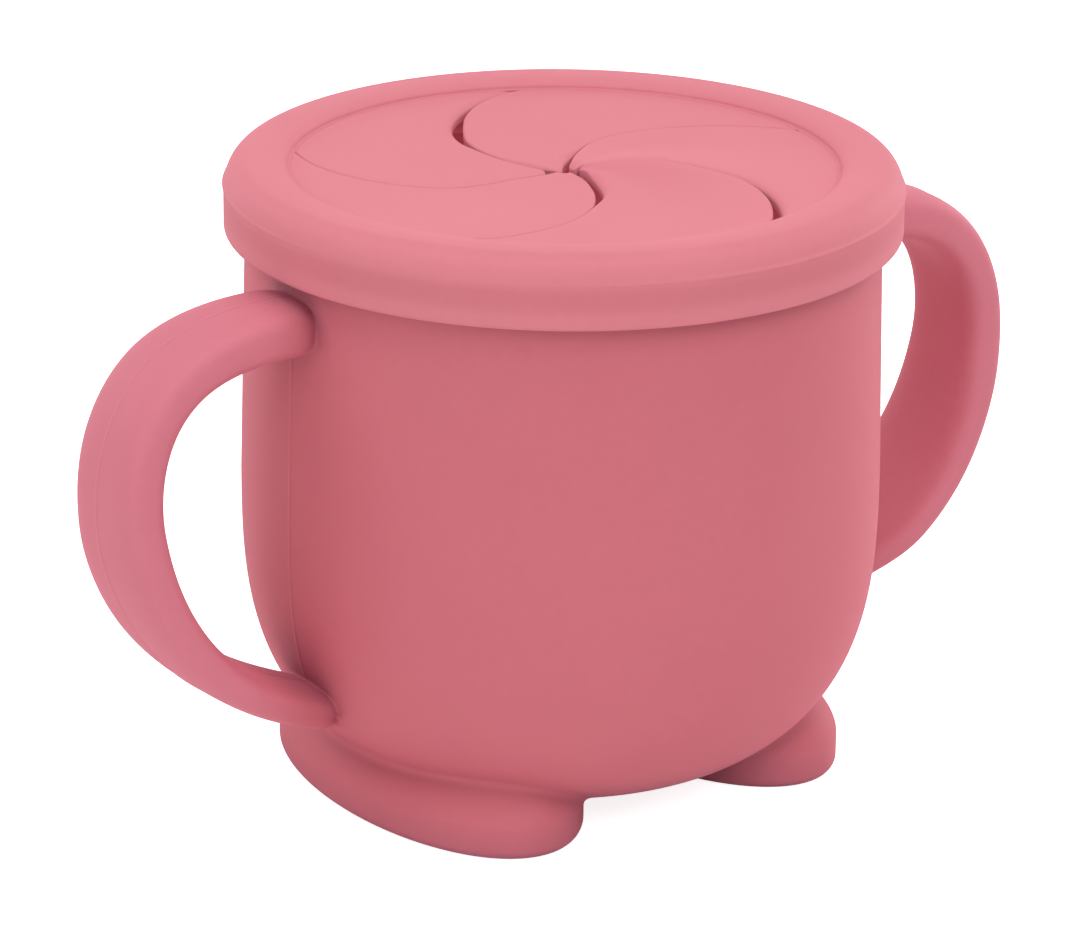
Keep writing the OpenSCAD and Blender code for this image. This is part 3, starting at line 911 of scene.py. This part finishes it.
def flap_outline(k):
    """Radii of flap k's rings, the directions of their middles, their half lengths and slants.

    The outline lies between the two slits, and ends in a round at the tip. A slant is the length
    along a ring that a slit takes up for each length square to it.
    """
    rho, tip_r = TIP_ROUND[k], TIP_R[k]
    r = np.concatenate([tip_r + rho * (1 - np.cos(np.linspace(0, np.pi / 2, TIP_RINGS))),
                        np.linspace(tip_r + rho, ROOT_R, FLAP_RINGS)[1:]])
    sine = np.sqrt(1 - (r / (2 * SLIT_ARC_R)) ** 2)
    before = slit_angle(k - 1, r) + OUTER_ROOM[k - 1](r) / (r * sine)
    after = slit_angle(k, r) - INNER_ROOM[k](r) / (r * sine)
    middle, half = (before + after) / 2, (after - before) / 2 * r
    blunt = np.sqrt(np.maximum(0, rho ** 2 - np.maximum(0, tip_r + rho - r) ** 2))
    blend = half[np.searchsorted(r, tip_r + rho - SAME_POINT)] / rho
    half = np.where(r < tip_r + rho, np.minimum(half, blunt * blend + TIP_HALF), half)
    return r, middle, half[:, None], 1 / sine[:, None]


def flap_height(k, r, share):
    """Height of flap k's top at radii r and shares from -1 to 1 between its two edges.

    It is the panel's, less a sag of S (1 - (r/R)^2), plus the edges' and the tip's lifts, less the
    nose's D (1 - sqrt(1 - q^2)), with q rising to 1 at the tip. At the root it joins the border.
    """
    long, deep = NOSE[k]
    lift = (OWN_LIFT[k] * ease((share + LIFT_OVERLAP) / (1 + LIFT_OVERLAP))
            + OTHER_LIFT[k] * ease((LIFT_OVERLAP - share) / (1 + LIFT_OVERLAP)))
    rise = np.sin(np.pi * np.clip(r / LIFT_END_R, 0, 1)) ** LIFT_POWER
    q = np.clip((TIP_R[k] + long - r) / long, 0, 1)
    height = PANEL_TOP - SAG * (1 - (r / PANEL_R) ** 2) + rise * lift
    height = height + TIP_LIFT[k] * np.exp(-(r / TIP_SPREAD) ** 2)
    height = height - deep * (1 - np.sqrt(1 - q ** 2))
    return PANEL_TOP - TUCK + (height - PANEL_TOP + TUCK) * ease((ROOT_R - r) / ROOT_HOLD)


def make_flap(k):
    """Flap k lies between slit k, its own edge, and slit k - 1, its other edge.

    Rings run from the tip to the root at radii r. Round a ring the place goes over the top, down
    the own edge, back underneath and up the other edge. Each edge is a quarter ellipse above, an
    upright part and a quarter circle below.
    """
    r, middle, half, slant = flap_outline(k)
    limit = ROLL_LIMIT * half
    own, own_deep = roll(k, r, OWN_NEAR, OWN_FAR, slant, limit)
    other, other_deep = roll(k, r, OTHER_NEAR, OTHER_FAR, slant, limit)
    under, base = within(UNDER_ROUND * slant, UNDER_ROUND, limit)
    up = np.radians(np.linspace(0, 90, EDGE_STEPS))[None, :]
    over = np.linspace(0, 1, TOP_STEPS)[None, 1:-1]
    back = np.linspace(1, 0, UNDER_STEPS)[None, 1:-1]
    top = over * (2 * half - own - other) - half + other
    low = back * (2 * half - 2 * under) - half + under
    s = np.hstack([top, half - own + own * np.sin(up), half - under + under * np.cos(up), low,
                   -half + under - under * np.sin(up), -half + other - other * np.cos(up)])
    down = np.hstack([0 * top, own_deep * (1 - np.cos(up)), PANEL_THICK - base * (1 - np.sin(up)),
                      PANEL_THICK + 0 * low, PANEL_THICK - base * (1 - np.cos(up)),
                      other_deep * (1 - np.sin(up))])
    angle = middle[:, None] + s / r[:, None]
    height = flap_height(k, r[:, None], np.clip(s / half, -1, 1))
    rings = np.stack([r[:, None] * np.cos(angle), r[:, None] * np.sin(angle), height - down], -1)
    return make_piece(f"soft_flap_{k + 1}", rings, start=rings[0].mean(0), end=rings[-1].mean(0))


for k in range(FLAPS):
    flap = dress(make_flap(k), LID_FINISH, None, f"lid_petal_{k + 1}")
    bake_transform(flap)

# Studio, in metres and watts

LIGHT_DISTANCE, LIGHT_SIZE, LIGHT_FULL = 1.2, 0.9, 20.0
LIGHT_AIM = np.array([0, 0, 0.045])
# Soft lights: degrees round from the camera's side, degrees above the table, share of full power
SOFT_LIGHTS = [(0, 90, 0.24), (45, 45, 0.253), (-90, 45, 0.155), (0, 45, 0.150), (90, 45, 0.1),
               (180, 30, 0.03), (135, 12, 0.285), (-135, 12, 0.2), (-45, 12, 0.184),
               (180, 12, 0.123)]
INSIDE_POWER, INSIDE_SIZE = 0.02, 0.02
# The floor's glow where the camera sees it, and the fainter one that falls on the cup
FLOOR_HALF, FLOOR_GLOW, FLOOR_BOUNCE = 3.0, 0.85, 0.06
FLOOR_COLOUR = (0.9, 0.9, 0.9, 1)


def soft_light(number, round_camera, above, share):
    """A broad disc on a sphere round the cup, facing it, that the camera itself doesn't see."""
    a = VIEW_AZIMUTH - np.pi - np.radians(round_camera)
    e = np.radians(above)
    away = np.array([np.sin(a) * np.cos(e), np.cos(a) * np.cos(e), np.sin(e)])
    side = unit(np.cross([0, 0, 1.0], away)) if above < 90 else np.array([1.0, 0, 0])
    data = bpy.data.lights.new(f"soft_light_{number}", "AREA")
    data.shape = "DISK"
    data.size = LIGHT_SIZE
    data.energy = LIGHT_FULL * share
    light = add_object(data.name, data)
    light.matrix_world = axes(side, np.cross(away, side), away, LIGHT_AIM + away * LIGHT_DISTANCE)
    light.visible_camera = False


def inside_light():
    """A faint light within the cup, for what comes through its soft walls."""
    data = bpy.data.lights.new("light_through_the_wall", "POINT")
    data.energy = INSIDE_POWER
    data.shadow_soft_size = INSIDE_SIZE
    lamp = add_object(data.name, data)
    lamp.location = LIGHT_AIM
    lamp.visible_camera = False


def seen_only(tree, plain, seen, x):
    """Mixes two shaders so that the second is what the camera sees directly."""
    rays = add_node(tree, "ShaderNodeLightPath", x, 300)
    mix = add_node(tree, "ShaderNodeMixShader", x + 200, 0)
    feed(tree, mix.inputs[0], rays.outputs["Is Camera Ray"])
    feed(tree, mix.inputs[1], plain.outputs[0])
    feed(tree, mix.inputs[2], seen.outputs[0])
    return mix.outputs[0]


def make_floor():
    """A pale matt floor, which runs into the white surroundings where the camera sees it."""
    mesh = bpy.data.meshes.new("studio_floor")
    s = FLOOR_HALF
    mesh.from_pydata([(-s, -s, 0), (s, -s, 0), (s, s, 0), (-s, s, 0)], [], [(0, 1, 2, 3)])
    floor = add_object("studio_floor", mesh)
    material = bpy.data.materials.new("studio floor")
    material.use_nodes = True
    tree = material.node_tree
    tree.nodes.clear()
    matt = add_node(tree, "ShaderNodeBsdfDiffuse", 0, 0, Color=FLOOR_COLOUR)
    lit = []
    for y, strength in ((-200, FLOOR_BOUNCE), (-400, FLOOR_GLOW)):
        glow = add_node(tree, "ShaderNodeEmission", 0, y, Color=WHITE, Strength=strength)
        both = add_node(tree, "ShaderNodeAddShader", 200, y)
        feed(tree, both.inputs[0], matt.outputs[0])
        feed(tree, both.inputs[1], glow.outputs[0])
        lit.append(both)
    out = add_node(tree, "ShaderNodeOutputMaterial", 700, 0)
    feed(tree, out.inputs["Surface"], seen_only(tree, *lit, 300))
    mesh.materials.append(material)


def make_surroundings():
    """White surroundings for the camera alone, which give no light."""
    world = bpy.data.worlds.new("studio")
    bpy.context.scene.world = world
    world.use_nodes = True
    tree = world.node_tree
    tree.nodes.clear()
    dark = add_node(tree, "ShaderNodeBackground", 0, 0, Color=WHITE, Strength=0.0)
    white = add_node(tree, "ShaderNodeBackground", 0, -200, Color=WHITE, Strength=1.0)
    out = add_node(tree, "ShaderNodeOutputWorld", 600, 0)
    feed(tree, out.inputs["Surface"], seen_only(tree, dark, white, 200))


make_floor()
make_surroundings()
for number, values in enumerate(SOFT_LIGHTS, 1):
    soft_light(number, *values)
inside_light()
bpy.context.scene.view_settings.view_transform = "Standard"
bpy.context.scene.view_settings.look = "None"
